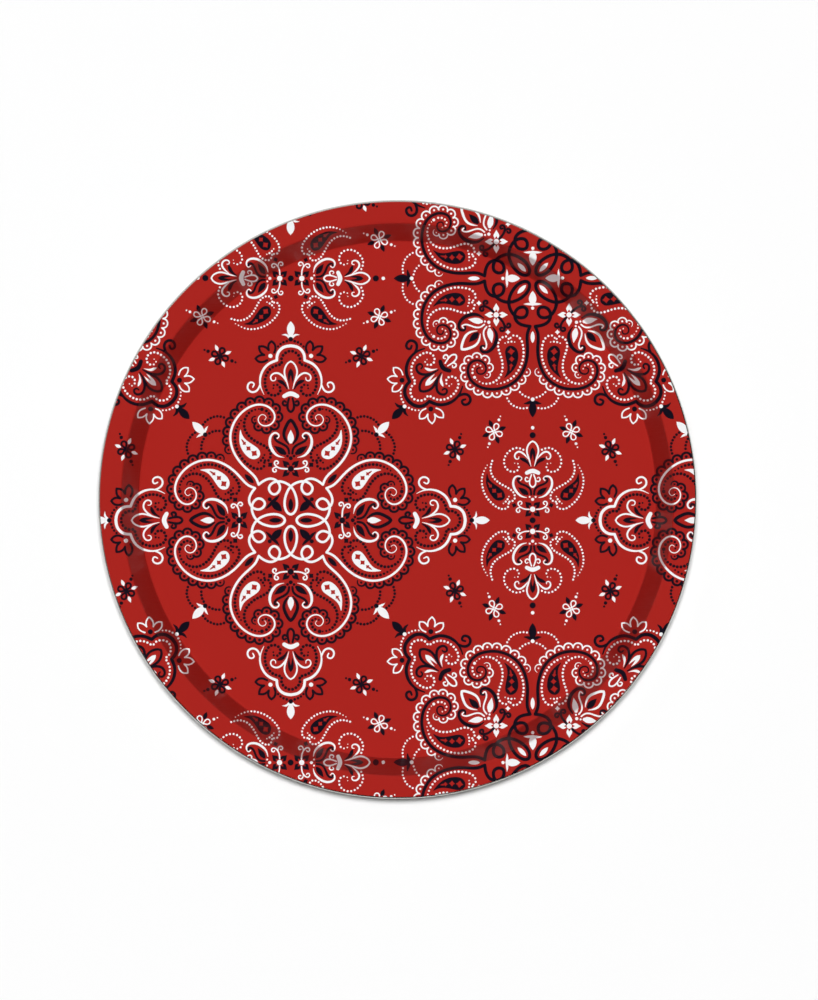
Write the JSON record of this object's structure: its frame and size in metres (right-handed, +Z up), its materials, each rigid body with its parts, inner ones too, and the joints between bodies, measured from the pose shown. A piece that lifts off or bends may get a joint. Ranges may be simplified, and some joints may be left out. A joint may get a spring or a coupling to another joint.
{
  "type": "round serving tray",
  "caption": "Round pressed tin serving tray: flat well, steep wall, level brim and a rolled edge over a wire, with a printed red bandana-style face.",
  "frame": {"origin": "middle of the flat underside, on the surface that the tray rests on", "axes": "+Z up out of the well; +X to the right and +Y to the top of the printed face as it is seen from above"},
  "size_m": [0.33, 0.33, 0.025],
  "materials": {
    "printed_tinplate": "satin lacquer over a litho print",
    "steel_wire": "drawn wire"
  },
  "bodies": {
    "root": {"pressed_pan": "printed_tinplate", "rim_wire": "steel_wire"}
  },
  "joints": []
}
